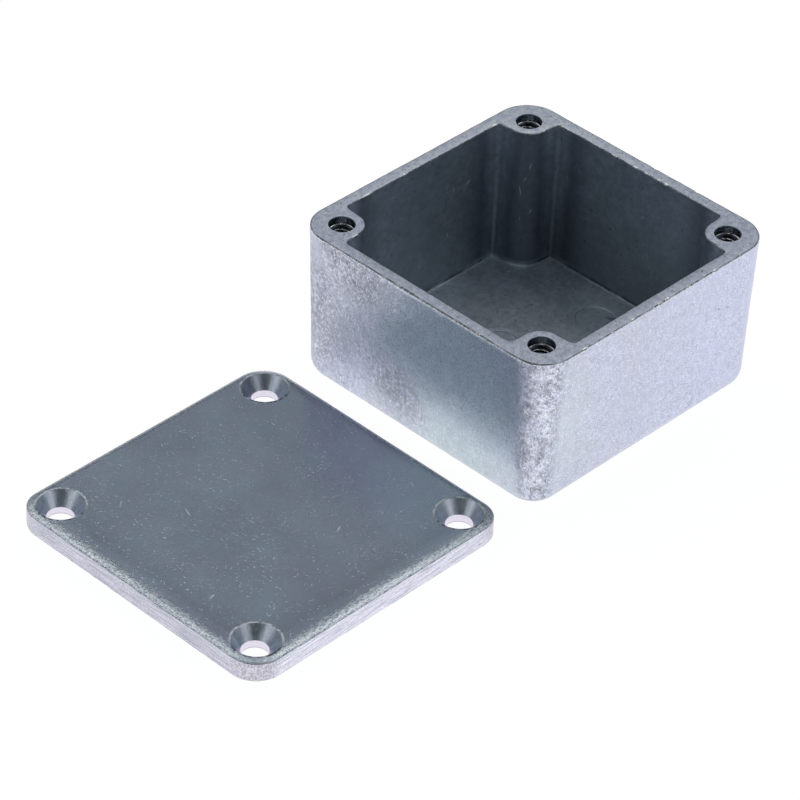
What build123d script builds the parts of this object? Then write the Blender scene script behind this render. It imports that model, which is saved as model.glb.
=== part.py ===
from build123d import *
import os
from math import cos, radians, sin

# A small square die cast box, open, standing on its base, with its lid taken off and lying beside it.
# The origin is the middle of the underside of the box, Z is up, and X and Y run along its sides.

# Outside of the box. The walls lean in towards the base, so that the casting leaves its die.
outer_side = 50.5
body_height = 27.0
rim_corner_radius = 5.4
outer_draft = 1.6
base_edge_radius = 3.0

# Inside of the box. The wall is measured at the rim, and the cavity narrows towards the floor.
wall_thickness = 2.15
floor_thickness = 2.4
cavity_draft = 0.75
floor_fillet = 0.4

# Corner bosses that take the lid screws, on centres set in from the outside of the box.
screw_inset = 4.95
boss_radius = 3.45
boss_lean = 5.0
boss_root_radius = 0.8

# Blind screw holes in the bosses: a plain mouth, then the tapping bore of an M3.5 thread.
mouth_radius = 2.0
mouth_depth = 1.4
tapping_radius = 1.45
screw_hole_depth = 14.0

# Round marks that the ejector pins of the die left in the cavity floor.
ejector_radius = 3.05
ejector_depth = 0.15
ejector_places = [(15.8, 0.3), (0.4, 5.9)]

# The lid covers the rim, set in by a hair. It is cast with a crowned upper edge, and its sides are ground flat.
lid_set_in = 0.05
lid_thickness = 3.3
lid_corner_radius = 4.6
lid_draft = 0.7
lid_crown_radius = 3.2
grinding_allowance = 1.65

# Its lip drops into the cavity with a clearance all round.
lip_height = 0.8
lip_width = 1.4
lip_clearance = 0.3

# Countersunk holes for the lid screws.
lid_hole_radius = 2.06
countersink_radius = 3.58
countersink_angle = 78.0

# Where the lid lies: how far it is from the box, and how far it is pushed along.
lid_gap = 5.2
lid_shift = 0.4

lid_side = outer_side - 2 * lid_set_in
screw_spacing = outer_side - 2 * screw_inset
cavity_depth = body_height - floor_thickness


def cavity_outline(setback):
    """Draw the mouth of the cavity, a square with a boss in each corner, moved inwards by the setback.

    Each boss is a circle about its screw, and leaves it along two tangents that spread towards the walls.
    """
    half = outer_side / 2 - wall_thickness - setback
    reach = boss_radius + setback
    lean = radians(boss_lean)
    across = screw_spacing / 2 - reach * cos(lean)
    along = screw_spacing / 2 - reach * sin(lean)
    root = across - (half - along) * sin(lean) / cos(lean)
    corner = across + (along - across) * sin(lean) / (cos(lean) + sin(lean))
    with BuildSketch() as outline:
        Rectangle(2 * half, 2 * half)
        with PolarLocations(0, 4):
            Polygon(
                (half, half), (root, half), (corner, corner), (half, root),
                align=None, mode=Mode.SUBTRACT,
            )
        from_centre = outline.vertices().sort_by_distance((0, 0))
        fillet(from_centre[:4], radius=reach)
        roots = outline.vertices().sort_by_distance((0, 0))[-8:]
        fillet(roots, radius=boss_root_radius)
    return outline.sketch


with BuildPart() as box_body:
    # The outside is drawn at the rim and narrows downwards.
    with BuildSketch(Plane.XY.offset(body_height)):
        RectangleRounded(outer_side, outer_side, rim_corner_radius)
    extrude(amount=-body_height, taper=outer_draft)
    fillet(box_body.faces().sort_by(Axis.Z)[0].edges(), radius=base_edge_radius)

    # The cavity runs from the rim down to the floor, past the bosses.
    with BuildSketch(Plane.XY.offset(body_height)):
        add(cavity_outline(0))
    extrude(amount=-cavity_depth, taper=cavity_draft, mode=Mode.SUBTRACT)
    cavity_floor = box_body.faces().filter_by(Axis.Z).sort_by(Axis.Z)[1]
    fillet(cavity_floor.edges(), radius=floor_fillet)

    # Ejector pin marks, sunk a little below the cavity floor.
    with BuildSketch(Plane.XY.offset(floor_thickness)):
        with Locations(*ejector_places):
            Circle(ejector_radius)
    extrude(amount=-ejector_depth, mode=Mode.SUBTRACT)

    # One screw hole in each boss.
    with Locations((0, 0, body_height)):
        with GridLocations(screw_spacing, screw_spacing, 2, 2):
            CounterBoreHole(tapping_radius, mouth_radius, mouth_depth, depth=screw_hole_depth)

lid_seat = Plane((-(outer_side + lid_side) / 2 - lid_gap, lid_shift, lip_height))
cast_side = lid_side + 2 * grinding_allowance

with BuildPart() as lid:
    # The plate as it comes from the die, a little too large all round, with its upper edge rounded over.
    with BuildSketch(lid_seat):
        RectangleRounded(cast_side, cast_side, lid_corner_radius + grinding_allowance)
    extrude(amount=lid_thickness)
    fillet(lid.faces().sort_by(Axis.Z)[-1].edges(), radius=lid_crown_radius)

    # Grinding brings the sides back to size and leaves a crisp edge under the crown.
    with BuildSketch(lid_seat):
        RectangleRounded(lid_side, lid_side, lid_corner_radius)
    extrude(amount=lid_thickness, taper=lid_draft, mode=Mode.INTERSECT)

    # The lip that finds its place inside the cavity.
    with BuildSketch(lid_seat):
        add(cavity_outline(lip_clearance))
        add(cavity_outline(lip_clearance + lip_width), mode=Mode.SUBTRACT)
    extrude(amount=-lip_height)

    # Countersunk holes over the bosses.
    with Locations(lid_seat.offset(lid_thickness)):
        with GridLocations(screw_spacing, screw_spacing, 2, 2):
            CounterSinkHole(lid_hole_radius, countersink_radius, counter_sink_angle=countersink_angle)

box_body.part.label = "box_body"
lid.part.label = "lid"

os.makedirs("parts", exist_ok=True)
export_step(box_body.part, "parts/box_body.step")
export_step(lid.part, "parts/lid.step")
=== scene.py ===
import math

import bmesh
import bpy
import numpy as np
from mathutils import Matrix, Vector
from mathutils.geometry import delaunay_2d_cdt


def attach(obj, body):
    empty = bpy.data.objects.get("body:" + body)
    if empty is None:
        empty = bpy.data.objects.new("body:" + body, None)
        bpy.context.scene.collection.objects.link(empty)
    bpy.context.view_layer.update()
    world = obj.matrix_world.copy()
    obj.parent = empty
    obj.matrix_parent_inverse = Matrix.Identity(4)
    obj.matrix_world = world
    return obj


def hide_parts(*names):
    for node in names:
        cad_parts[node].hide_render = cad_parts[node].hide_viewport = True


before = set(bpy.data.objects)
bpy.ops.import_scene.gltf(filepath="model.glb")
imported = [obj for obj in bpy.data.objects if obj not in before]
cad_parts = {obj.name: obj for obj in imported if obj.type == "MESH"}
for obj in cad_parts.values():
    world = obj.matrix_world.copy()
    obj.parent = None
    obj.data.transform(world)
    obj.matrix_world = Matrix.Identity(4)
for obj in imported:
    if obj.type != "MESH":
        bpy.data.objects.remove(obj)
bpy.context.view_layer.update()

# The box is one aluminium casting, square and open at the top, with a boss for a lid screw in each corner.
# The walls lean a little, so that it leaves its die. It stands on its flat base at the origin.
box_side = 50.5
box_height = 27.0
lean_degrees = 1.6
wall_lean = math.tan(math.radians(lean_degrees))
rim_corner = 5.4
base_edge = 3.0
wall = 2.15
floor_height = 2.4
cavity_lean = math.tan(math.radians(0.75))
floor_edge = 0.4
screw_spacing = 40.6
boss = 3.45
boss_lean = math.radians(5.0)
boss_root = 0.8


def ripple(u, v, lengths, seed):
    """Gentle unevenness at the places (u, v): a sum of plane waves of the given lengths in random directions.

    Each wave is the sine of its phase plus the distance along its direction, and the sum is kept within about 1.
    """
    rng = np.random.default_rng(seed)
    total = np.zeros(np.broadcast(u, v).shape)
    for length in lengths:
        for _ in range(3):
            turn, phase = rng.uniform(0, 2 * np.pi, 2)
            total += np.sin((u * np.cos(turn) + v * np.sin(turn)) * 2 * np.pi / length + phase)
    return total / (1.7 * np.sqrt(3 * len(lengths)))


def walk_square(half, corner, along=150, around=18):
    """Walk once round a square with rounded corners, and give the points and their outward directions.

    Each corner is a quarter circle about its centre, and a straight side joins it to the next one.
    """
    side = np.linspace(-1, 1, along, endpoint=False)[:, None]
    turn = np.radians(np.linspace(0, 90, around, endpoint=False))[:, None]
    inner = half - corner
    straight = np.hstack([np.full_like(side, half), side * inner])
    arc = np.hstack([inner + corner * np.cos(turn), inner + corner * np.sin(turn)])
    place = np.vstack([straight, arc])
    out = np.vstack([np.tile([1.0, 0.0], (along, 1)), np.hstack([np.cos(turn), np.sin(turn)])])
    quarter = np.array([[0.0, -1.0], [1.0, 0.0]])
    turns = [np.linalg.matrix_power(quarter, k) for k in range(4)]
    return np.vstack([place @ t.T for t in turns]), np.vstack([out @ t.T for t in turns])


def walk_cavity(setback=0.0, along=58):
    """Walk once round the mouth of the cavity, and give the points and their directions into the metal.

    From the middle of a wall it runs straight, round a small arc, down a line that leans away from the boss, and
    round the boss to the diagonal. The other half of the corner is its mirror image, and four corners close the walk.
    """
    half, centre = box_side / 2 - wall - setback, screw_spacing / 2
    lean = boss_lean
    touch = centre - (boss + setback) * np.array([np.cos(lean), np.sin(lean)])
    root_y = half - boss_root
    root_x = touch[0] - (boss_root + (root_y - touch[1]) * np.sin(lean)) / np.cos(lean)
    x = np.linspace(0, root_x, along, endpoint=False)
    straight = np.stack([x, np.full_like(x, half)], 1)
    turn = np.linspace(np.pi / 2, lean, 8)[:-1, None]
    small = np.hstack([root_x + boss_root * np.cos(turn), root_y + boss_root * np.sin(turn)])
    start = np.array([root_x + boss_root * np.cos(lean), root_y + boss_root * np.sin(lean)])
    slant = start + np.linspace(0, 1, 7, endpoint=False)[:, None] * (touch - start)
    sweep = np.linspace(np.pi + lean, np.pi * 1.25, 13)[:, None]
    big = centre + (boss + setback) * np.hstack([np.cos(sweep), np.sin(sweep)])
    place = np.vstack([straight, small, slant, big])
    out = np.vstack([
        np.tile([0.0, 1.0], (len(straight), 1)),
        np.hstack([np.cos(turn), np.sin(turn)]),
        np.tile([np.cos(lean), np.sin(lean)], (len(slant), 1)),
        -np.hstack([np.cos(sweep), np.sin(sweep)]),
    ])
    corner = [np.vstack([a[:, ::-1], a[-2:0:-1]]) for a in (place, out)]
    quarter = np.array([[0.0, -1.0], [1.0, 0.0]])
    turns = [np.linalg.matrix_power(quarter, k) for k in range(4)]
    return [np.vstack([a @ t.T for t in turns]) for a in corner]


def carry(place, out, inset, height):
    """Carry a profile round a walk: row k is the walk moved inwards by inset[k] and lifted to height[k]."""
    inset, height = (np.reshape(a, (-1, 1)) if np.ndim(a) < 2 else np.asarray(a) for a in (inset, height))
    flat = place[None] - inset[..., None] * out[None]
    return np.concatenate([flat, np.broadcast_to(height, flat.shape[:2])[..., None]], 2)


def all_round(values, place):
    """Give each value of a profile to every place of a walk."""
    return np.tile(np.reshape(values, (-1, 1)), (1, len(place)))


def band(rows, finish_slot):
    """Join the rows of a grid that closes round into four-sided faces.

    The rows run counterclockwise. Rows that climb make a wall that faces outwards, and rows that go down or inwards
    make one that faces the middle or up.
    """
    count, around = rows.shape[:2]
    number = np.arange(count * around).reshape(count, around)
    low, high = number[:-1], number[1:]
    faces = np.stack([low, np.roll(low, -1, 1), np.roll(high, -1, 1), high], -1).reshape(-1, 4)
    return rows.reshape(-1, 3), faces, finish_slot


def inside(points, loop):
    """Tell which points lie inside a closed loop: a line off to one side crosses it an odd number of times."""
    a, b = loop, np.roll(loop, -1, 0)
    y = points[:, 1:2]
    crosses = (a[:, 1] > y) != (b[:, 1] > y)
    with np.errstate(divide="ignore", invalid="ignore"):
        at = a[:, 0] + (y - a[:, 1]) / (b[:, 1] - a[:, 1]) * (b[:, 0] - a[:, 0])
    return (crosses & (points[:, :1] < at)).sum(1) % 2 == 1


def sheet_of_metal(outline, holes, height, spacing, finish_slot, downward=False):
    """Fill a flat outline, less its holes, with triangles whose points lie on a grid of the given spacing.

    The grid keeps clear of the edges. Height is a number or a function of the places.
    """
    loops = [outline] + list(holes)
    edge = np.vstack(loops)
    low, high = outline.min(0), outline.max(0)
    x, y = np.meshgrid(np.arange(low[0], high[0], spacing), np.arange(low[1], high[1], spacing))
    grid = np.stack([x.ravel() + spacing / 3, y.ravel() + spacing / 3], 1)
    keep = inside(grid, outline)
    for hole in holes:
        keep &= ~inside(grid, hole)
    grid = grid[keep]
    clear = np.hypot(grid[:, :1] - edge[:, 0], grid[:, 1:] - edge[:, 1]).min(1)
    grid = grid[clear > 0.55 * spacing]
    points = np.vstack([edge, grid])
    links, first = [], 0
    for loop in loops:
        number = first + np.arange(len(loop))
        links.append(np.stack([number, np.roll(number, -1)], 1))
        first += len(loop)
    made = delaunay_2d_cdt([Vector(p) for p in points], np.vstack(links).tolist(), [], 0, 1e-7)
    flat = np.array([v[:] for v in made[0]])
    faces = np.array(made[2])
    middle = flat[faces].mean(1)
    keep = inside(middle, outline)
    for hole in holes:
        keep &= ~inside(middle, hole)
    faces = faces[keep]
    a, b, c = flat[faces[:, 0]], flat[faces[:, 1]], flat[faces[:, 2]]
    area = (b[:, 0] - a[:, 0]) * (c[:, 1] - a[:, 1]) - (b[:, 1] - a[:, 1]) * (c[:, 0] - a[:, 0])
    wrong = (area > 0) if downward else (area < 0)
    faces[wrong] = faces[wrong][:, ::-1]
    z = height(flat) if callable(height) else np.full(len(flat), float(height))
    return np.column_stack([flat, z]), faces, finish_slot


hole_steps = 48


def circle(centre, radius):
    """Points round a circle in the plane: the centre plus the radius times the cosine and the sine of the turn."""
    turn = np.linspace(0, 2 * np.pi, hole_steps, endpoint=False)
    return np.asarray(centre) + radius * np.stack([np.cos(turn), np.sin(turn)], 1)


def lifted(flat, height):
    """Lift each row of places in the plane to its own height."""
    height = np.reshape(height, (-1, 1, 1))
    return np.concatenate([flat, np.broadcast_to(height, flat.shape[:2] + (1,))], 2)


def turned(centre, profile, finish_slot):
    """Turn a profile of (radius, height) pairs about an upright axis."""
    rings = np.stack([circle(centre, radius) for radius, _ in profile])
    return band(lifted(rings, [height for _, height in profile]), finish_slot)


def make_piece(name, parts, finishes):
    """Join the surfaces, given in millimetres, into one closed mesh in metres, and give each its finish."""
    points = np.vstack([p[0] for p in parts]) * 0.001
    mesh = bpy.data.meshes.new(name)
    faces, marks, first = [], [], 0
    for vertices, part_faces, finish_slot in parts:
        faces += (part_faces + first).tolist()
        marks += [finish_slot] * len(part_faces)
        first += len(vertices)
    mesh.from_pydata(points.tolist(), [], faces)
    mesh.polygons.foreach_set("material_index", marks)
    mesh.polygons.foreach_set("use_smooth", [True] * len(faces))
    work = bmesh.new()
    work.from_mesh(mesh)
    bmesh.ops.remove_doubles(work, verts=work.verts, dist=2e-7)
    open_edges = sum(len(e.link_faces) != 2 for e in work.edges)
    work.to_mesh(mesh)
    work.free()
    mesh.set_sharp_from_angle(angle=math.radians(32))
    for material in finishes:
        mesh.materials.append(material)
    piece = bpy.data.objects.new(name, mesh)
    bpy.context.scene.collection.objects.link(piece)
    print(name, "faces", len(mesh.polygons), "open edges", open_edges)
    return piece


def chipped(place, chips):
    """How deep an edge is chipped at each place: each chip is a bell curve about its own place, wide and deep."""
    depth = np.zeros(len(place))
    for x, y, wide, deep in chips:
        depth += deep * np.exp(-((place[:, 0] - x) ** 2 + (place[:, 1] - y) ** 2) / (2 * wide ** 2))
    return depth


outside, rim_finish, rim_painted_shade_line, rim_painted_highlight, inside_skin, bore_metal = range(6)
outer_place, outer_way = walk_square(box_side / 2, rim_corner)

# The outside from the base up: the rounded base edge, a slightly wavy wall, and a rim edge that is worn and nicked.
base_inset = wall_lean * box_height
arc = np.radians(np.linspace(0, 90 - lean_degrees, 11))
arc_inset = base_inset - wall_lean * base_edge + base_edge / math.cos(math.radians(lean_degrees))
wall_low, wall_high, wave_end, wave_depth, wave_fade = 3.6, 26.2, 26.4, 0.07, 3
wall_z = np.linspace(wall_low, wall_high, 30)[:, None]
along_wall = outer_place[:, 0] - outer_place[:, 1]
wave = 0.5 + 0.5 * ripple(along_wall[None], wall_z, [31, 13], 4)
wave *= wave_depth * np.clip((wave_end - wall_z) / wave_fade, 0, 1) * np.clip((wall_z - wall_low) / wave_fade, 0, 1)
edge_chips = [(-16.3, -25.2, 0.35, 0.2), (-10.6, -25.2, 0.25, 0.1), (-6.0, -25.2, 0.35, 0.2), (-0.2, -25.2, 0.4, 0.14),
              (1.4, -25.2, 0.3, 0.28), (6.5, -25.2, 0.25, 0.1), (11.9, -25.2, 0.35, 0.2), (17.3, -25.2, 0.3, 0.12),
              (25.2, -1.4, 0.3, 0.16), (25.2, -9.9, 0.3, 0.22), (-25.2, -12, 0.3, 0.1), (-25.2, 3.5, 0.5, 0.1)]

# The outer edge is worn most on the left, and a little more on the two far sides than on the right.
x, y = outer_place.T
edge_wear = 0.19 + 0.05 * ripple(x, y, [9, 3.1], 8) + chipped(outer_place, edge_chips)
edge_wear += 0.1 * (x < -24) * np.clip((18 - y) / 9, 0.2, 1) + 0.06 * (outer_place.max(1) > 24)
edge_turn = np.radians([0, 25, 48, 62, 76, 90])[:, None]
insets = np.vstack([all_round(arc_inset - base_edge * np.sin(arc), outer_place),
                    wall_lean * (box_height - wall_z) + wave,
                    wall_lean * edge_wear + edge_wear * (1 - np.cos(edge_turn))])
heights = np.vstack([all_round(base_edge - base_edge * np.cos(arc), outer_place),
                     all_round(wall_z, outer_place),
                     box_height - edge_wear + edge_wear * np.sin(edge_turn)])
rows = carry(outer_place, outer_way, insets, heights)
skin = [band(rows[:-5], outside), band(rows[-6:-3], rim_painted_highlight), band(rows[-4:], rim_painted_shade_line)]
skin.append(sheet_of_metal(rows[0][:, :2], [], 0.0, 2.5, outside, downward=True))
rim_outer = rows[-1][:, :2]

# The cavity from the rim down to the floor. A few nicks show on its upper edge.
cave_place, cave_way = walk_cavity()
depth = box_height - floor_height
mouth_chips = [(-12.2, 23.1, 0.5, 0.18), (15.5, 23.1, 0.6, 0.2), (-4.2, 23.1, 0.5, 0.2), (23.1, -5.3, 0.35, 0.4),
               (23.1, 4.8, 0.35, 0.2), (23.1, 0.7, 0.5, 0.22), (23.1, -1.6, 0.3, 0.2), (23.1, -3.6, 0.4, 0.2),
               (17.9, 17.9, 0.8, 0.12), (-21, 16.9, 0.4, 0.15), (23.1, 15.3, 0.6, 0.16)]
x, y = cave_place.T
mouth_wear = 0.12 + 0.09 * (cave_place.min(1) < -20) + 0.03 * ripple(x, y, [7, 2.7], 12)
mouth_wear += chipped(cave_place, mouth_chips)
mouth_turn = np.radians([0, 25, 45, 68, 90])[:, None]
drop = np.linspace(0.6, depth - 0.6, 16)
floor_turn = np.radians([0, 22.5, 45, 67.5, 90])
floor_inset = cavity_lean * (depth - floor_edge) + floor_edge * (1 - np.cos(floor_turn))
insets = np.vstack([-mouth_wear * (1 - np.sin(mouth_turn)), all_round(cavity_lean * drop, cave_place),
                    all_round(floor_inset, cave_place)])
heights = np.vstack([box_height - mouth_wear * (1 - np.cos(mouth_turn)), all_round(box_height - drop, cave_place),
                     all_round(floor_height + floor_edge * (1 - np.sin(floor_turn)), cave_place)])
rows = carry(cave_place, cave_way, insets, heights)
skin += [band(rows[:3], rim_painted_shade_line), band(rows[2:5], rim_painted_highlight), band(rows[4:], inside_skin)]
rim_inner, floor_line = rows[0][:, :2], rows[-1][:, :2]

# The floor with two ejector pin marks, whose edges are worn round.
pins = [((15.8, 0.3), 3.05), ((0.4, 5.9), 3.05)]
pin_sink, pin_edge, pin_draft = 0.15, 0.09, 0.05
skin.append(sheet_of_metal(floor_line, [circle(c, r + pin_edge) for c, r in pins], floor_height, 1.4, inside_skin))
for c, r in pins:
    turn = np.radians([0, 15, 30, 45, 60])
    brim_radius = r + pin_edge * (1 - np.sin(turn) / np.sin(turn[-1]))
    brim = list(zip(brim_radius, floor_height - pin_edge * (1 - np.cos(turn))))
    skin.append(turned(c, brim + [(r - pin_draft, floor_height - pin_sink)], inside_skin))
    skin.append(sheet_of_metal(circle(c, r - pin_draft), [], floor_height - pin_sink, 0.9, inside_skin))

# The flat rim, and the screw holes: a plain mouth, a ledge, and an M3.5 thread down to the drilled tip.
screws = [(x * screw_spacing / 2, y * screw_spacing / 2) for x in (-1, 1) for y in (-1, 1)]
mouth_radius, mouth_depth, mouth_bevel, ledge_radius, ledge_rise = 2.0, 1.4, 0.08, 1.82, 0.12
crest, root, pitch, hole_depth, drill_tip = 1.45, 1.75, 0.6, 14.0, 0.8
skin.append(sheet_of_metal(rim_outer, [rim_inner] + [circle(c, mouth_radius + mouth_bevel) for c in screws],
                           box_height, 0.7, rim_finish))


def screw_thread(centre, top, bottom, steps=6):
    """A threaded bore: its radius swings between crest and root once for each pitch, and moves on with the turn.

    The swing is a wave with slanted flanks and flat tops, and it fades out at the mouth.
    """
    z = np.linspace(top, bottom, int((top - bottom) / pitch * steps) + 1)[:, None]
    turn = np.linspace(0, 2 * np.pi, hole_steps, endpoint=False)[None]
    swing = np.abs(((z / pitch - turn / (2 * np.pi)) % 1) * 2 - 1)
    cut = np.clip((swing - 0.2) / 0.66, 0, 1)
    fade = np.clip((top - z) / (0.5 * pitch), 0, 1)
    radius = crest + (root - crest) * (cut * fade + (1 - fade) * 0.5)
    return np.stack([centre[0] + radius * np.cos(turn), centre[1] + radius * np.sin(turn),
                     np.broadcast_to(z, radius.shape)], 2)


for c in screws:
    top, bottom = box_height - mouth_depth, box_height - hole_depth
    mouth = [(mouth_radius + mouth_bevel, box_height), (mouth_radius, box_height - mouth_bevel),
             (mouth_radius, top + ledge_rise), (ledge_radius, top)]
    skin.append(turned(c, mouth, bore_metal))
    ring = lifted(circle(c, ledge_radius)[None], top)
    thread = screw_thread(c, top - 0.1, bottom + drill_tip)
    tip = np.broadcast_to([*c, bottom], (1, hole_steps, 3))
    skin.append(band(np.concatenate([ring, thread, tip]), bore_metal))


def adder(tree):
    """A function that adds a node to the tree, sets its values and joins its inputs, and gives its outputs."""
    def add(kind, inputs=(), **settings):
        node = tree.nodes["Principled BSDF"] if kind == "Shader" else tree.nodes.new("ShaderNode" + kind)
        for key, value in settings.items():
            setattr(node, key, value)
        for slot, value in dict(inputs).items():
            if isinstance(value, bpy.types.NodeSocket):
                tree.links.new(value, node.inputs[slot])
            else:
                node.inputs[slot].default_value = value
        return node.outputs

    return add


def finish(name, colour, roughness):
    """A bare metal finish: the material, and the function that adds its nodes."""
    material = bpy.data.materials.new(name)
    material.use_nodes = True
    add = adder(material.node_tree)
    add("Shader", {"Metallic": 1.0, "Base Color": (*colour, 1), "Roughness": roughness})
    return material, add


def in_millimetres(add, centre=(0, 0, 0)):
    """Places on the piece in millimetres, seen from a centre."""
    place = add("TexCoord")["Object"]
    return add("Mapping", {"Vector": place, "Location": [-c for c in centre], "Scale": (1000, 1000, 1000)})["Vector"]


def on_walls(add):
    """Places on upright walls in millimetres: across is x less y, which runs on round the corners, and up is z."""
    place = add("TexCoord")["Object"]
    side = 1000 * math.sqrt(2)
    return add("Mapping", {"Vector": place, "Rotation": (-math.pi / 2, math.pi / 4, 0),
                           "Scale": (side, side, 1000)})["Vector"]


def grain(add, place, size, detail=2.0, rough=0.5):
    """Cloudy noise whose lumps are about size millimetres across."""
    return add("TexNoise", {"Vector": place, "Scale": 1 / size, "Detail": detail, "Roughness": rough})["Fac"]


def maths(add, operation, a, b=0.0):
    """One step of arithmetic."""
    return add("Math", {0: a, 1: b}, operation=operation)["Value"]


def times(add, a, b):
    """One value times another."""
    return maths(add, "MULTIPLY", a, b)


def larger(add, a, b):
    """The larger one of two values."""
    return maths(add, "MAXIMUM", a, b)


def plus(add, a, b, share=1.0):
    """a plus a share of b."""
    return add("Math", {0: b, 1: share, 2: a}, operation="MULTIPLY_ADD")["Value"]


def vectors(add, operation, a, b=(0, 0, 0), result="Vector"):
    """One step of arithmetic on vectors."""
    return add("VectorMath", {0: a, 1: b}, operation=operation)[result]


def along_way(add, place, way):
    """How far a place lies along a direction: the product of both, added up over the axes."""
    return vectors(add, "DOT_PRODUCT", place, way, "Value")


def height_of(add, place):
    """How high a place lies."""
    return add("SeparateXYZ", {"Vector": place})["Z"]


def from_screws(add, place):
    """The way in the plane to a place from the nearest screw, with the four quarters of the piece folded into one."""
    away = vectors(add, "SUBTRACT", vectors(add, "ABSOLUTE", place), (screw_spacing / 2, screw_spacing / 2, 0))
    return vectors(add, "MULTIPLY", away, (1, 1, 0))


def ranged(add, value, low, high, start=0.0, end=1.0):
    """Carry a value from start..end over to low..high, and no further."""
    reach = {"From Min": start, "From Max": end, "To Min": low, "To Max": high}
    return add("MapRange", {"Value": value, **reach})["Result"]


def mixed(add, share, low, high):
    """Go from one colour to another with the share."""
    return add("MixRGB", {"Fac": share, "Color1": (*low, 1) if isinstance(low, tuple) else low,
                          "Color2": (*high, 1) if isinstance(high, tuple) else high})["Color"]


def shaded(add, colour, by):
    """A colour times a number."""
    return add("VectorMath", {0: colour, "Scale": by}, operation="SCALE")["Vector"]


def strokes(add, place, angle, length, width):
    """Noise drawn out into strokes of about the given length and width, which run at an angle in the plane."""
    seen = add("Mapping", {"Vector": place, "Rotation": (0, 0, math.radians(angle)),
                           "Scale": (length, width, 1e4)}, vector_type="TEXTURE")["Vector"]
    return add("TexNoise", {"Vector": seen, "Scale": 1.0, "Detail": 3.0, "Roughness": 0.6})["Fac"]


def spot(add, place, centre, radius, soft=0.6):
    """A round patch: 1 near its centre, and falling to 0 at the radius."""
    away = vectors(add, "DISTANCE", place, centre, "Value")
    return ranged(add, away, 1, 0, radius * (1 - soft), radius)


def scratches(add, place, cell, length, width, share, turn=0.0, spread=180.0):
    """Short straight scratches in the plane, at most one to each cell of a random mosaic.

    Each is turned, shortened or left out by chance. It is where the distance across it is under the width.
    """
    mosaic = add("TexVoronoi", {"Vector": place, "Scale": 1 / cell}, voronoi_dimensions="2D")
    chance = add("SeparateColor", {"Color": mosaic["Color"]})
    offset = vectors(add, "SUBTRACT", place, mosaic["Position"])
    angle = ranged(add, chance["Red"], math.radians(turn - spread / 2), math.radians(turn + spread / 2))
    turned_offset = add("VectorRotate", {"Vector": offset, "Angle": angle}, rotation_type="Z_AXIS")["Vector"]
    parts = add("SeparateXYZ", {"Vector": turned_offset})
    across = ranged(add, maths(add, "ABSOLUTE", parts["Y"]), 1, 0, 0.3 * width, width)
    reach = ranged(add, chance["Green"], 0.3 * length, length)
    ends = ranged(add, maths(add, "DIVIDE", maths(add, "ABSOLUTE", parts["X"]), reach), 1, 0, 0.5, 1.0)
    there = maths(add, "LESS_THAN", chance["Blue"], share)
    return times(add, times(add, across, ends), there)


def mark(add, place, centre, length, width, angle):
    """One placed scratch in the plane: the distance from its centre, measured in its own length and width."""
    seen = add("Mapping", {"Vector": place, "Location": (*centre, 0), "Rotation": (0, 0, math.radians(angle)),
                           "Scale": (length, width, 1e4)}, vector_type="TEXTURE")["Vector"]
    return ranged(add, vectors(add, "LENGTH", seen, result="Value"), 1, 0, 0.5, 1.0)


# Outside, the tumbled skin is finely peened, and it is rougher and greyer where the castings knocked together.
tumbled, add = finish("tumbled_casting", (0.58, 0.60, 0.72), 0.26)
place, wall_place = in_millimetres(add), on_walls(add)
fine, small = grain(add, place, 0.26, 2.0), grain(add, place, 0.8, 4.0, 0.65)
blots, wide = grain(add, place, 2.4, 4.0, 0.65), grain(add, place, 9.0, 3.0)
steep, shallow = strokes(add, wall_place, 66, 0.95, 0.18), strokes(add, wall_place, -30, 0.75, 0.18)
on_side = ranged(add, height_of(add, place), 0, 1, 0.4, 2.0)
along = maths(add, "ABSOLUTE", along_way(add, place, (1, -1, 0)))
on_side = times(add, on_side, ranged(add, along, 1, 0, 44.8, 46.6))
to_front = along_way(add, place, (-1, -1, 0))
front_corner = ranged(add, to_front, 0, 1.1, 44.6, 46.6)
worn = larger(add, front_corner, spot(add, place, (-25, 26, 14), 20, 0.8))
worn = larger(add, worn, spot(add, place, (-25, 13, 27), 12, 0.7))
worn = larger(add, worn, times(add, spot(add, place, (-25, 5, 8), 9.5, 0.8), 0.73))
worn = ranged(add, plus(add, plus(add, worn, wide, 0.8), blots, 1.3), 0, 1, 1.15, 1.9)
slate, painted_sky_reflection = spot(add, place, (-25, -8, 13), 23), spot(add, place, (25, -25, 14), 34)
clean_metal = mixed(add, ranged(add, wide, 0, 1, 0.4, 0.6), (0.575, 0.595, 0.72), (0.58, 0.615, 0.765))
# Towards the right-hand corner the colour turns bluer and lighter, as a painted reflection of the sky.
clean_metal = mixed(add, painted_sky_reflection, clean_metal, (0.59, 0.62, 0.80))
height = height_of(add, place)
clean_metal = mixed(add, slate, clean_metal, (0.60, 0.688, 0.75))
# On the left face the colour is painted darker low down and lighter high up, as painted light.
painted_height_light = times(add, slate, ranged(add, height, -0.8, 1, 4, 13))
clean_metal = shaded(add, clean_metal, plus(add, 1.0, painted_height_light, 0.1))
scuffed_metal = mixed(add, ranged(add, blots, 0, 1, 0.36, 0.64), (0.33, 0.345, 0.42), (0.575, 0.60, 0.725))
scuffed_metal = shaded(add, scuffed_metal, plus(add, 1.0, front_corner, 0.3))
colour = mixed(add, worn, clean_metal, scuffed_metal)
speckle = plus(add, ranged(add, steep, -0.12, 0.14, 0.36, 0.64), ranged(add, shallow, -0.12, 0.14, 0.36, 0.64))
speckle = plus(add, times(add, speckle, on_side), ranged(add, fine, -0.06, 0.06, 0.35, 0.65))
speckle = plus(add, speckle, times(add, ranged(add, small, -0.2, 0.2, 0.34, 0.66), ranged(add, worn, 0.2, 1)))
calm = ranged(add, grain(add, place, 4.5, 2.0), 0.45, 1.2, 0.35, 0.65)
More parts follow.
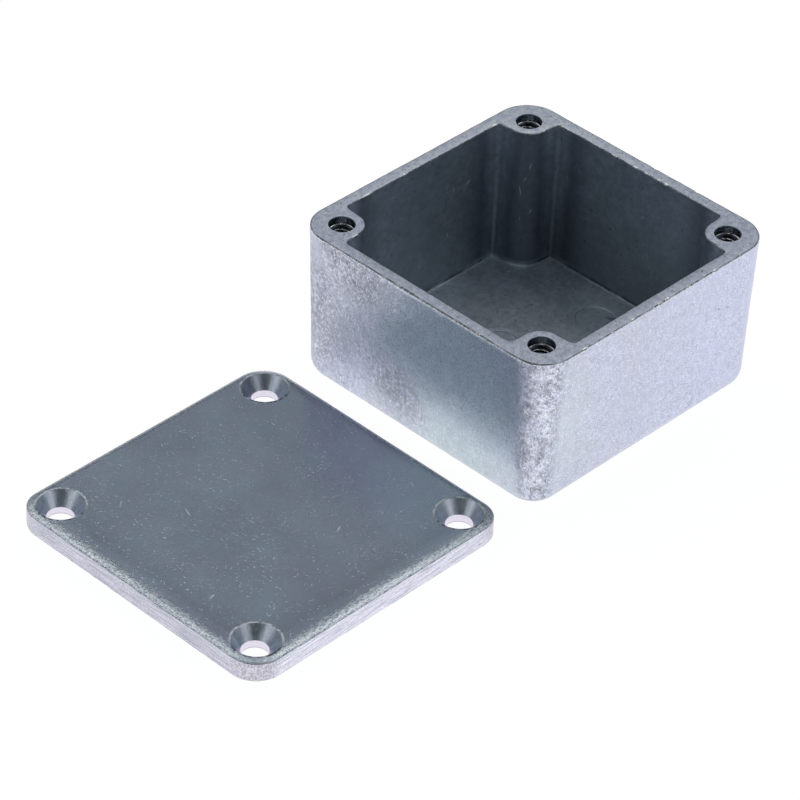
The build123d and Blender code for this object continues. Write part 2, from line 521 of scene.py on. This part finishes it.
calm = times(add, calm, ranged(add, slate, 1, 0.45))
speckle = times(add, speckle, larger(add, calm, ranged(add, worn, 0, 1.7)))
speckle = plus(add, speckle, ranged(add, grain(add, place, 1.8, 3.0, 0.6), -0.045, 0.045, 0.36, 0.64))
colour = shaded(add, colour, plus(add, speckle, 1.0))
pits = times(add, ranged(add, grain(add, place, 0.45, 1.0), 0, 1, 0.64, 0.72), ranged(add, worn, 0.15, 0.7))
colour = mixed(add, pits, colour, (0.2, 0.18, 0.19))
scores = scratches(add, wall_place, 0.7, 0.55, 0.11, 0.55, 60, 130)
scores = times(add, scores, on_side)
colour = mixed(add, times(add, scores, ranged(add, worn, 0.42, 0.95)), colour, (0.95, 0.95, 1.0))
cuts = times(add, scratches(add, wall_place, 2.3, 0.9, 0.12, 0.3, 70, 100), 0.36)
for spec in (((38.9, 18.8), 0.5, 0.2, -40), ((41.0, 18.1), 0.6, 0.16, -30)):
    cuts = larger(add, cuts, times(add, mark(add, wall_place, *spec), 0.6))
colour = mixed(add, times(add, cuts, on_side), colour, (0.25, 0.25, 0.3))
relief = plus(add, fine, plus(add, small, times(add, plus(add, steep, shallow), on_side), 1.4), 0.6)
relief = times(add, relief, ranged(add, worn, 0.4, 1.3))
bump = add("Bump", {"Height": relief, "Strength": 1.0, "Distance": 0.00005})["Normal"]
rough = plus(add, ranged(add, fine, 0.25, 0.33, 0.35, 0.65), worn, 0.1)
add("Shader", {"Base Color": colour, "Roughness": rough, "Normal": bump})

# The rim is ground flat, so it is dull and finely pitted. It is painted lighter towards the back, as painted light.
ground, add = finish("ground_rim", (0.72, 0.75, 0.86), 0.48)
place = in_millimetres(add)
fine, small = grain(add, place, 0.25, 3.0), grain(add, place, 0.9, 3.0)
dull = mixed(add, ranged(add, small, 0, 1, 0.35, 0.65), (0.62, 0.65, 0.77), (0.86, 0.88, 1.0))
# Painted light: the rim is painted lighter towards the back.
to_back = along_way(add, place, (0.7, 1.3, 0))
grain_and_painted_light = times(add, ranged(add, fine, 0.85, 1.12, 0.35, 0.65), ranged(add, to_back, 1.0, 1.17, 0, 30))
colour = shaded(add, dull, grain_and_painted_light)
pits = ranged(add, grain(add, place, 0.6, 1.0), 0, 0.6, 0.66, 0.72)
pits = larger(add, pits, mark(add, place, (10.3, -24.0), 0.5, 0.14, 15))
colour = mixed(add, pits, colour, (0.25, 0.27, 0.3))
bump = add("Bump", {"Height": fine, "Strength": 1.0, "Distance": 0.00003})["Normal"]
add("Shader", {"Base Color": colour, "Normal": bump})

# Both edges of the rim are worn round. Next to the ground face they carry a dark line of painted shade, below it a
# painted highlight, and the nicks are painted white as highlights.
painted_shade_metal, add = finish("rim_painted_shade_line", (0.16, 0.17, 0.2), 0.35)
place = in_millimetres(add)
fine, small = grain(add, place, 0.3, 2.0), grain(add, place, 1.5, 3.0)
colour = mixed(add, ranged(add, small, 0, 1, 0.45, 0.65), (0.09, 0.1, 0.12), (0.4, 0.43, 0.5))
# The nicks in the edges are painted white, as painted highlights on the chipped metal.
painted_nick_highlights = ranged(add, fine, 0, 1, 0.64, 0.7)
for x, y, wide, deep in edge_chips + mouth_chips:
    painted_nick_highlights = larger(add, painted_nick_highlights, ranged(add, spot(add, place, (x, y, box_height), 2.2 * wide), 0, 4 * deep))
painted_nick_highlights = times(add, painted_nick_highlights, ranged(add, fine, 0, 1.6, 0.36, 0.6))
colour = mixed(add, painted_nick_highlights, colour, (1.0, 1.0, 1.0))
add("Shader", {"Base Color": colour})
# Below the dark line the edge is painted bright, as a painted highlight.
painted_highlight_metal, add = finish("rim_painted_highlight", (0.8, 0.84, 0.92), 0.3)
place = in_millimetres(add)
fine = grain(add, place, 0.35, 3.0)
colour = mixed(add, ranged(add, fine, 0, 1, 0.36, 0.6), (0.42, 0.45, 0.52), (0.95, 0.97, 1.0))
add("Shader", {"Base Color": colour, "Roughness": ranged(add, fine, 0.22, 0.38, 0.35, 0.65)})

# The inside keeps the dark skin that the die gave it, with a few rubs. It is painted darker about the bosses, low on
# the right wall and in patches along the foot of the walls, as painted shade, and painted lighter higher up and
# towards the back of the floor, as painted light.
cast_skin, add = finish("cast_skin", (0.5, 0.54, 0.59), 0.34)
place, wall_place = in_millimetres(add), on_walls(add)
small, smears = grain(add, place, 0.9, 4.0, 0.6), grain(add, place, 3.2, 5.0, 0.7)
to_boss = along_way(add, vectors(add, "ABSOLUTE", place), (1, 1, 0))
height = height_of(add, place)
up_wall = ranged(add, height, 0, 1, 3.0, 3.4)
colour = mixed(add, ranged(add, smears, 0, 1, 0.32, 0.68), (0.53, 0.60, 0.65), (0.63, 0.69, 0.775))
# The corners about the bosses are painted darker, as painted shade.
painted_boss_shade = times(add, ranged(add, to_boss, 0, 0.85, 31.5, 36), ranged(add, to_boss, 1, 0.2, 36.4, 38))
colour = mixed(add, times(add, painted_boss_shade, up_wall), colour, (0.30, 0.315, 0.38))
on_boss = ranged(add, to_boss, 0, 1, 31.5, 36)
# The right wall is painted darker low down, as painted shade.
right_wall = ranged(add, along_way(add, place, (1, 0, 0)), 0, 1, 22.3, 22.7)
painted_low_shade = times(add, right_wall, ranged(add, height, 0.34, 0.06, 4, 18))
colour = shaded(add, colour, maths(add, "SUBTRACT", 1.0, painted_low_shade))
# Painted light: the walls are painted darker low down and lighter high up, and the floor lighter towards the back.
to_back = along_way(add, place, (1, 1, 0))
painted_floor_light = times(add, ranged(add, height, 1, 0, 2.42, 3.4), ranged(add, to_back, 0.85, 1.4, 14, 34))
painted_light = larger(add, ranged(add, height, 0.6, 1.2, 3, 26), painted_floor_light)
colour = shaded(add, colour, painted_light)
colour = shaded(add, colour, ranged(add, small, 0.9, 1.1, 0.35, 0.65))
pits = ranged(add, grain(add, place, 0.7, 1.0), 0, 0.45, 0.70, 0.76)
colour = mixed(add, pits, colour, (0.08, 0.09, 0.1))
# The crease at the foot of the walls is painted darker in patches, as painted shade.
fillet = times(add, ranged(add, height, 0, 1, 2.42, 2.5), ranged(add, height, 1, 0, 2.7, 2.9))
patchy = ranged(add, grain(add, place, 3.5, 2.0), 0.2, 0.75, 0.4, 0.6)
colour = shaded(add, colour, maths(add, "SUBTRACT", 1.0, times(add, fillet, patchy)))
shadow = mark(add, place, (17.9, -1.9), 0.5, 1.7, 20)
colour = mixed(add, times(add, shadow, 0.55), colour, (0.1, 0.11, 0.12))
rubs = times(add, scratches(add, wall_place, 3.5, 1.0, 0.11, 0.12, 75, 70), 0.6)
for spec in (((0.6, 21), 0.8, 0.12, 70), ((-1.3, 16.4), 1.1, 0.12, 105), ((1.2, 12.6), 0.5, 0.13, 80),
             ((-0.4, 18.6), 0.6, 0.1, 60), ((-13, 19), 0.6, 0.14, 30), ((-17, 11), 0.5, 0.12, 110)):
    rubs = larger(add, rubs, mark(add, wall_place, *spec))
rubs = times(add, rubs, up_wall)
rubs = larger(add, rubs, mark(add, place, (14.9, 17.8), 0.35, 0.25, 0))
colour = mixed(add, rubs, colour, (0.95, 0.95, 0.95))
rough = plus(add, plus(add, ranged(add, small, 0.46, 0.54, 0.35, 0.65), rubs, 0.3), on_boss, 0.06)
bump = add("Bump", {"Height": small, "Strength": 1.0, "Distance": 0.00004})["Normal"]
add("Shader", {"Base Color": colour, "Roughness": rough, "Normal": bump})

# The drilled mouths are dark. Below the ledge the bore is painted almost black, as painted shade, and the ledge and
# the crests of the thread are painted white, as painted highlights.
cut_metal, add = finish("cut_thread", (0.40, 0.43, 0.48), 0.16)
place = in_millimetres(add)
radius = vectors(add, "LENGTH", from_screws(add, place), result="Value")
height = height_of(add, place)
ledge = times(add, ranged(add, height, 1, 0, 25.74, 25.8), ranged(add, radius, 0, 0.6, 1.86, 1.93))
crests = times(add, ranged(add, height, 1, 0, 25.4, 25.5), ranged(add, radius, 1, 0, 1.49, 1.55))
fine = grain(add, place, 0.3, 2.0)
# The ledge and the thread crests are painted white, as painted highlights.
bright = times(add, larger(add, ledge, crests), ranged(add, fine, 0.5, 1, 0.4, 0.55))
# Below the ledge the bore is painted almost black, as painted shade.
dark = mixed(add, ranged(add, height, 0, 1, 25.72, 25.76), (0.03, 0.035, 0.045), (0.38, 0.45, 0.53))
colour = mixed(add, bright, dark, (1.0, 1.0, 1.0))
bump = add("Bump", {"Height": fine, "Strength": 1.0, "Distance": 0.00003})["Normal"]
add("Shader", {"Base Color": colour, "Roughness": ranged(add, fine, 0.12, 0.26, 0.35, 0.65), "Normal": bump})
box_finishes = [tumbled, ground, painted_shade_metal, painted_highlight_metal, cast_skin, cut_metal]
box_body = make_piece("box_casting", skin, box_finishes)
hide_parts("box_body")
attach(box_body, "root")

# The lid lies beside the box. It is an aluminium plate cast with a crowned upper edge, and its sides are ground flat.
# A lip under it finds its place in the mouth of the box, and four countersunk holes take the screws.
lid_middle = np.array([-55.65, 0.4])
lid_side, lid_corner, lid_plate, lip = 50.4, 4.6, 3.3, 0.8
lid_lean = math.tan(math.radians(0.7))
crown, allowance, off_centre = 3.2, 1.65, np.array([-0.4, -0.2])
lip_gap, lip_width, lip_bevel = 0.3, 1.4, 0.1
lid_hole, hole_bevel, sink, burr, burr_height = 2.06, 0.08, 3.55, 0.2, 0.03
lid_top = lip + lid_plate
lid_skin, ground_side, sink_metal, drilled_metal, under_skin = range(5)
place, way = walk_square(lid_side / 2, lid_corner)


def lid_height(at):
    """Height of the lid's upper face: flat within the crown, and falling along its arc towards the sides.

    The plate is cast larger by the allowance, and the grinding is a little off its centre.
    """
    beyond = np.maximum(np.abs(at - off_centre) - (lid_side / 2 - lid_corner), 0)
    inset = lid_corner + allowance - np.hypot(beyond[:, 0], beyond[:, 1])
    out = np.clip(crown - inset, 0, None)
    return lid_top - crown + np.sqrt(crown ** 2 - out ** 2) + 0.012 * ripple(at[:, 0], at[:, 1], [23, 9], 5)


side_height, side_inset = 2.6, 0.034
side_rows = np.array([(0.1, 0.0), (0.03, 0.03), (0.0, 0.1)] + [(lid_lean * z, z) for z in np.linspace(0.35, 2.55, 9)])
foot_chips = [(-25.2, 12.5, 0.25, 0.06), (-25.2, 9.5, 0.45, 0.1), (-25.2, 7.6, 0.3, 0.07), (-25.2, 5.5, 0.45, 0.1),
              (-25.2, 3.2, 0.25, 0.06)]
x, y = place.T
foot_wear = chipped(place, foot_chips) + 0.03 * np.clip(ripple(x, y, [3.1, 1.7], 9), 0, 1)
crisp = 0.055 + 0.025 * ripple(x, y, [7, 2.9], 6)
edge_height = lid_height(place) - lip - crisp
side_insets = side_rows[:, :1] + foot_wear * np.clip(1 - side_rows[:, 1:] / 0.4, 0, 1)
rows = carry(place, way, side_insets, lip + side_rows[:, 1:] / side_height * edge_height)
edge_turn = np.radians([0, 15, 30, 45, 60, 75, 90])[:, None]
top_insets = all_round([0.38, 0.55, 0.75, 0.95], place)
crown_insets = np.vstack([side_inset + crisp * (1 - np.cos(edge_turn)), top_insets])
edge_drop = np.vstack([crisp * (1 - np.sin(edge_turn)), 0 * top_insets])
upper = carry(place, way, crown_insets, 0 * crown_insets)
for row, lower in zip(upper, edge_drop):
    row[:, 2] = lid_height(row[:, :2]) - lower
lid_parts = [band(np.concatenate([rows, upper[:4]]), ground_side), band(upper[3:], lid_skin)]
sinks = [circle(c, sink + burr) for c in screws]
lid_parts.append(sheet_of_metal(upper[-1][:, :2], sinks, lid_height, 0.6, lid_skin))

# Each countersink has a raised burr round it, is cut to its own depth, and sits a little off the hole below it.
hole_middles = np.add(screws, [(-0.11, 0.12), (-0.23, -0.05), (-0.04, -0.04), (-0.11, -0.10)])
sink_depths = [1.93, 2.08, 1.93, 2.02]
down = np.array([0.02, 0.05, 0.18, 0.31, 0.45, 0.58, 0.71, 0.85, 0.98, 1.0])[:, None, None]
for c, middle, low in zip(screws, hole_middles, sink_depths):
    brims = []
    for reach, up in ((burr, 0), (0.13, 0.5), (0.08, 1.0), (0.03, 0.6)):
        brim = circle(c, sink + reach)
        brims.append(np.column_stack([brim, lid_height(brim) + up * burr_height]))
    lid_parts.append(band(np.stack(brims), lid_skin))
    cone = lifted(circle(c, sink) * (1 - down) + circle(middle, lid_hole) * down, lid_top - low * down)
    hole = [(lid_hole, lid_top - low), (lid_hole, lip + hole_bevel), (lid_hole + hole_bevel, lip)]
    lid_parts.append(band(np.concatenate([brims[-1][None], cone]), sink_metal))
    lid_parts.append(turned(middle, hole, drilled_metal))

# Underneath, the lip runs round just inside the mouth of the box, and its edges are bevelled.
lip_out, lip_out_way = walk_cavity(lip_gap, 40)
lip_in, lip_in_way = walk_cavity(lip_gap + lip_width, 40)
under_holes = [circle(middle, lid_hole + hole_bevel) for middle in hole_middles]
outer_lip = carry(lip_out, lip_out_way, [lip_bevel, 0, 0], [0.0, lip_bevel, lip])
inner_lip = carry(lip_in, lip_in_way, [0, 0, -lip_bevel], [lip, lip_bevel, 0.0])
lid_parts += [
    sheet_of_metal(rows[0][:, :2], [lip_out] + under_holes, lip, 1.0, under_skin, downward=True),
    sheet_of_metal(lip_in, [], lip, 1.6, under_skin, downward=True),
    band(outer_lip, under_skin),
    band(inner_lip, under_skin),
    sheet_of_metal(outer_lip[0][:, :2], [inner_lip[-1][:, :2]], 0.0, 0.8, under_skin, downward=True),
]
lid_centre = (*lid_middle, 0)
lid_parts = [(points + lid_centre, faces, finish_slot) for points, faces, finish_slot in lid_parts]

# The upper face is smooth and dark with handling marks. Its crowned edge is scuffed on the two near sides that rubbed,
# and painted bright there, partly as painted highlight.
# On the other two sides it carries a painted dark line of shade.
lid_face, add = finish("lid_face", (0.58, 0.62, 0.77), 0.24)
place = in_millimetres(add, lid_centre)
fine, small = grain(add, place, 0.28, 3.0, 0.6), grain(add, place, 0.7, 2.0)
wide, wider = grain(add, place, 4.0, 2.0), grain(add, place, 9.0, 2.0)
corner_at = lid_side / 2 - lid_corner
beyond = vectors(add, "SUBTRACT", vectors(add, "ABSOLUTE", place), (corner_at, corner_at, 100))
beyond = vectors(add, "LENGTH", vectors(add, "MAXIMUM", beyond), result="Value")
from_side = maths(add, "SUBTRACT", lid_corner, beyond)
axes = add("SeparateXYZ", {"Vector": place})
near_sides = ranged(add, maths(add, "MINIMUM", axes["X"], axes["Y"]), 1, 0, -23.5, -21)
on_left = ranged(add, maths(add, "SUBTRACT", axes["X"], axes["Y"]), 1, 0, -1, 1)
drawn = mixed(add, on_left, strokes(add, place, 0, 1.3, 0.14), strokes(add, place, 90, 1.3, 0.14))
grit = plus(add, times(add, fine, 0.65), drawn, 0.5)
# On the two near sides the scuffed crown is also painted bright, partly as painted highlight.
scuffs_and_highlight = ranged(add, plus(add, plus(add, from_side, grit, 1.9), small, 1.2), 1, 0, 2.85, 3.45)
to_corner = along_way(add, place, (-1, -1, 0))
near_sides = times(add, near_sides, ranged(add, to_corner, 1, 0.35, 44.5, 46))
scuffs_and_highlight = times(add, scuffs_and_highlight, ranged(add, near_sides, 0.25, 1))
colour = mixed(add, ranged(add, wide, 0, 1, 0.35, 0.65), (0.575, 0.60, 0.735), (0.555, 0.635, 0.735))
colour = shaded(add, colour, ranged(add, wider, 0.94, 1.06, 0.35, 0.65))
to_right = along_way(add, place, (1, -1, 0))
colour = mixed(add, ranged(add, to_right, 0, 0.6, 0, 36), colour, (0.565, 0.60, 0.67))
from_edge = plus(add, maths(add, "MINIMUM", axes["X"], axes["Y"]), lid_side / 2)
beside_crown = times(add, ranged(add, from_edge, 0, 1, 2.4, 3.6), ranged(add, from_edge, 1, 0, 3.6, 8))
colour = shaded(add, colour, ranged(add, beside_crown, 1, 0.87))
scuff_and_highlight_colour = mixed(add, ranged(add, grit, 0, 1, 0.48, 0.62), (0.32, 0.37, 0.44), (0.89, 0.95, 1.0))
hairs = scratches(add, place, 0.5, 0.45, 0.11, 0.7, 40, 150)
scuff_and_highlight_colour = mixed(add, times(add, hairs, 0.8), scuff_and_highlight_colour, (1.0, 1.0, 1.0))
colour = mixed(add, scuffs_and_highlight, colour, scuff_and_highlight_colour)
# On the two far sides the edge of the crown is painted with a dark line, as painted shade.
painted_far_shade = times(add, ranged(add, from_side, 1, 0, 0.25, 0.6), ranged(add, near_sides, 1, 0))
colour = mixed(add, times(add, painted_far_shade, 0.7), colour, (0.16, 0.18, 0.2))
patchy = ranged(add, grain(add, place, 3.0, 2.0), 0.25, 1.0, 0.4, 0.65)
bent = vectors(add, "ADD", place, add("TexNoise", {"Vector": place, "Scale": 0.5})["Color"])
short = times(add, scratches(add, bent, 0.75, 0.35, 0.09, 0.4, 30, 150), patchy)
long = scratches(add, bent, 5.0, 1.6, 0.07, 0.3, 32, 40)
marks = larger(add, times(add, short, 0.7), times(add, long, 0.4))
flat_way, ring_radius = from_screws(add, place), 3.68
from_cone = maths(add, "SUBTRACT", vectors(add, "LENGTH", flat_way, result="Value"), ring_radius)
from_cone = maths(add, "ABSOLUTE", from_cone)
ring = times(add, ranged(add, from_cone, 1, 0, 0.08, 0.28), ranged(add, small, 0.2, 1.3, 0.40, 0.58))
true_way = vectors(add, "MULTIPLY", flat_way, vectors(add, "SIGN", place))
far_edge = ranged(add, along_way(add, true_way, (1, 1, 0)), 0, 1, -2.5, 1.0)
for spec in (((-8.3, 6.5), 1.1, 0.12, 70), ((-14, 14.5), 0.9, 0.12, 40), ((-18.5, -9.5), 0.7, 0.2, 20),
             ((5, -11), 0.8, 0.15, 30), ((20, -11), 0.7, 0.12, 60)):
    marks = larger(add, marks, mark(add, place, *spec))
colour = mixed(add, times(add, marks, 0.5), colour, (0.9, 0.9, 0.95))
# The burr ring is painted white on its far side, as painted highlight, and dark on its near side, as painted shade.
painted_ring_light = mixed(add, far_edge, (0.14, 0.16, 0.2), (1.0, 1.0, 1.0))
colour = mixed(add, times(add, ring, 0.9), colour, painted_ring_light)
relief = plus(add, times(add, plus(add, fine, small), ranged(add, scuffs_and_highlight, 0.25, 1.5)), marks, -0.4)
bump = add("Bump", {"Height": relief, "Strength": 1.0, "Distance": 0.00005})["Normal"]
rough = plus(add, plus(add, ranged(add, small, 0.22, 0.26, 0.35, 0.65), marks, 0.18), scuffs_and_highlight, 0.12)
rough = plus(add, rough, ring, 0.3)
edge_rub = times(add, ranged(add, from_side, 1, 0, 0.15, 0.4), near_sides)
rough = plus(add, rough, edge_rub, 0.2)
add("Shader", {"Base Color": colour, "Roughness": rough, "Normal": bump})

# The sides are sanded along their length, and the lines run out where the belt turned round the corners.
sanded, add = finish("sanded_side", (0.66, 0.67, 0.78), 0.3)
lines_place, place = on_walls(add), in_millimetres(add, lid_centre)
lines, fine = strokes(add, lines_place, 1.3, 6.0, 0.15), grain(add, place, 0.3, 2.0)
scores = strokes(add, lines_place, 2.4, 3.0, 0.16)
to_corner = along_way(add, vectors(add, "ABSOLUTE", place), (1, 1, 0))
turning = ranged(add, to_corner, 0, 1, 45.0, 47.0)
belt = mixed(add, ranged(add, lines, 0, 1, 0.41, 0.55), (0.53, 0.545, 0.67), (0.88, 0.875, 1.0))
# The left side is painted darker, as painted shade.
belt = shaded(add, belt, ranged(add, along_way(add, place, (1, 0, 0)), 0.79, 1, -24, -23))
belt = mixed(add, ranged(add, scores, 0, 0.8, 0.59, 0.65), belt, (0.30, 0.32, 0.37))
belt = shaded(add, belt, ranged(add, fine, 0.86, 1.14, 0.35, 0.65))
knocked = mixed(add, ranged(add, fine, 0, 1, 0.36, 0.64), (0.42, 0.41, 0.47), (0.76, 0.73, 0.84))
colour = mixed(add, turning, belt, knocked)
# At the chips along the foot the side is painted nearly black, as painted shadow in the gap under the lid.
for chip in foot_chips:
    painted_notch_shadow = mark(add, lines_place, (lid_middle[0] - lid_middle[1] + chip[0] - chip[1], lip), 1.8 * chip[2], 0.27, 4)
    colour = mixed(add, painted_notch_shadow, colour, (0.1, 0.08, 0.08))
relief = mixed(add, turning, lines, fine)
bump = add("Bump", {"Height": relief, "Strength": 1.0, "Distance": 0.00004})["Normal"]
add("Shader", {"Base Color": colour, "Normal": bump})

# The countersinks are turned with a cutter that chattered, which left streaks down the cone.
countersunk, add = finish("countersunk_metal", (0.38, 0.44, 0.49), 0.24)
place = in_millimetres(add, lid_centre)
way_out = vectors(add, "NORMALIZE", from_screws(add, place))
which = maths(add, "SNAP", along_way(add, place, (0.9, 1.7, 0.05)), 20.0)
shifted = vectors(add, "ADD", way_out, add("CombineXYZ", {"Z": which})["Vector"])
streaks, blots = grain(add, shifted, 0.12, 3.0), grain(add, place, 0.9, 4.0, 0.65)
tone = plus(add, times(add, streaks, 0.4), blots, 0.6)
colour = mixed(add, ranged(add, tone, 0, 1, 0.38, 0.62), (0.58, 0.64, 0.75), (0.80, 0.86, 0.96))
bump = add("Bump", {"Height": plus(add, streaks, blots, 2.0), "Strength": 1.0, "Distance": 0.00002})["Normal"]
add("Shader", {"Base Color": colour, "Roughness": ranged(add, blots, 0.32, 0.42, 0.35, 0.65), "Normal": bump})

# Below them the holes are drilled through, and their foot is painted dark brownish, as painted shadow.
drilled, add = finish("drilled_metal", (0.80, 0.76, 0.88), 0.3)
place = in_millimetres(add, lid_centre)
fine = grain(add, place, 0.4, 2.0)
height = height_of(add, place)
# The foot of each hole is painted brownish dark, as painted shadow.
colour = mixed(add, ranged(add, height, 0, 1, lip + 0.12, lip + 0.22), (0.42, 0.33, 0.35), (0.80, 0.76, 0.88))
add("Shader", {"Base Color": colour, "Roughness": ranged(add, fine, 0.24, 0.36, 0.35, 0.65)})

# Underneath, the lid keeps the dark skin that the die gave it.
lid_under, add = finish("lid_underside", (0.58, 0.63, 0.70), 0.35)
place = in_millimetres(add, lid_centre)
small, smears = grain(add, place, 0.9, 4.0, 0.6), grain(add, place, 3.2, 5.0, 0.7)
colour = mixed(add, ranged(add, smears, 0, 1, 0.32, 0.68), (0.53, 0.60, 0.65), (0.63, 0.69, 0.775))
colour = shaded(add, colour, ranged(add, small, 0.9, 1.1, 0.35, 0.65))
bump = add("Bump", {"Height": small, "Strength": 1.0, "Distance": 0.00004})["Normal"]
add("Shader", {"Base Color": colour, "Roughness": ranged(add, small, 0.30, 0.40, 0.35, 0.65), "Normal": bump})
lid = make_piece("lid_casting", lid_parts, [lid_face, sanded, countersunk, drilled, lid_under])
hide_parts("lid")
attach(lid, "root")

# A plain white table and soft studio light.
bpy.ops.mesh.primitive_plane_add(size=4.0, location=(0, 0, -0.00005))
table_top = bpy.context.object
table_top.name = "table_top"

# The paper on it is white, and shows as white to the camera and in reflections.
white = bpy.data.materials.new("white_paper")
white.use_nodes = True
white.node_tree.nodes.clear()
add = adder(white.node_tree)
ray = add("LightPath")
seen = times(add, larger(add, ray["Is Camera Ray"], ray["Is Glossy Ray"]), 0.85)
paper, glow = add("BsdfDiffuse", {"Color": (0.9, 0.9, 0.9, 1)}), add("Emission", {"Strength": 1.12})
add("OutputMaterial", {"Surface": add("MixShader", {"Fac": seen, 1: paper[0], 2: glow[0]})[0]})
table_top.data.materials.append(white)

# The room is dim, darker low down, and darkest behind the camera.
world = bpy.data.worlds.new("studio")
bpy.context.scene.world = world
world.use_nodes = True
world.node_tree.nodes.clear()
add = adder(world.node_tree)
direction, ray = add("TexCoord")["Generated"], add("LightPath")
rise = ranged(add, height_of(add, direction), 0, 1, 0, 0.5)
shade = mixed(add, rise, (0.06, 0.07, 0.08), (0.235, 0.26, 0.275))
behind = ranged(add, along_way(add, direction, (-0.575, -0.539, 0.616)), 1.0, 0.3, 0.55, 0.88)
soft, bright = add("Background", {"Color": shaded(add, shade, behind), "Strength": 1.0}), add("Background")
add("OutputWorld", {"Surface": add("MixShader", {"Fac": ray["Is Camera Ray"], 1: soft[0], 2: bright[0]})[0]})


def softbox(name, heading, lift, wide, tall, level):
    """A soft oval lamp a metre away at a heading and a height angle, turned towards the object.

    Its power is its level of brightness times pi and its area.
    """
    middle = Vector((-0.028, 0, 0.01))
    heading, lift = math.radians(heading), math.radians(lift)
    way = Vector((math.cos(heading) * math.cos(lift), math.sin(heading) * math.cos(lift), math.sin(lift)))
    lamp = bpy.data.lights.new(name, "AREA")
    lamp.shape, lamp.size, lamp.size_y = "ELLIPSE", wide, tall
    lamp.energy = level * math.pi * math.pi * wide * tall / 4
    box = bpy.data.objects.new(name, lamp)
    box.location = middle + way
    box.rotation_euler = (-way).to_track_quat("-Z", "Y").to_euler()
    bpy.context.scene.collection.objects.link(box)


# Two softboxes stand high ahead on the left and the right, two low wide ones stand back on both sides, and a small
# bright lamp hangs almost overhead.
softbox("high_left_softbox", 88, 54, 0.64, 0.64, 0.9)
softbox("high_right_softbox", -2, 54, 0.64, 0.64, 1.15)
softbox("low_left_softbox", 167, 31, 0.76, 0.24, 1.0)
softbox("low_right_softbox", -81, 31, 0.76, 0.24, 1.0)
softbox("overhead_lamp", 223, 77, 0.2, 0.2, 1.4)

# The camera looks down at the box and the lid, as the one that took the photo did.
camera = bpy.data.objects.new("camera", bpy.data.cameras.new("camera"))
bpy.context.scene.collection.objects.link(camera)
camera_place = (-0.37155, -0.32209, 0.37247)
pitch_down, roll = math.radians(37.6155), math.radians(2.4805)
ahead = Vector((0.7298, 0.68366, 0))
right = Vector((0.68366, -0.7298, 0))
look = ahead * math.cos(pitch_down) - Vector((0, 0, math.sin(pitch_down)))
up = right.cross(look)
camera_x = right * math.cos(roll) + up * math.sin(roll)
camera_y = up * math.cos(roll) - right * math.sin(roll)
turn = Matrix((camera_x, camera_y, -look)).transposed().to_4x4()
camera.matrix_world = Matrix.Translation(camera_place) @ turn
camera.data.lens, camera.data.sensor_width = 181.79, 36
camera.data.clip_start, camera.data.clip_end = 0.01, 10
bpy.context.scene.camera = camera
bpy.context.scene.view_settings.view_transform = "Standard"
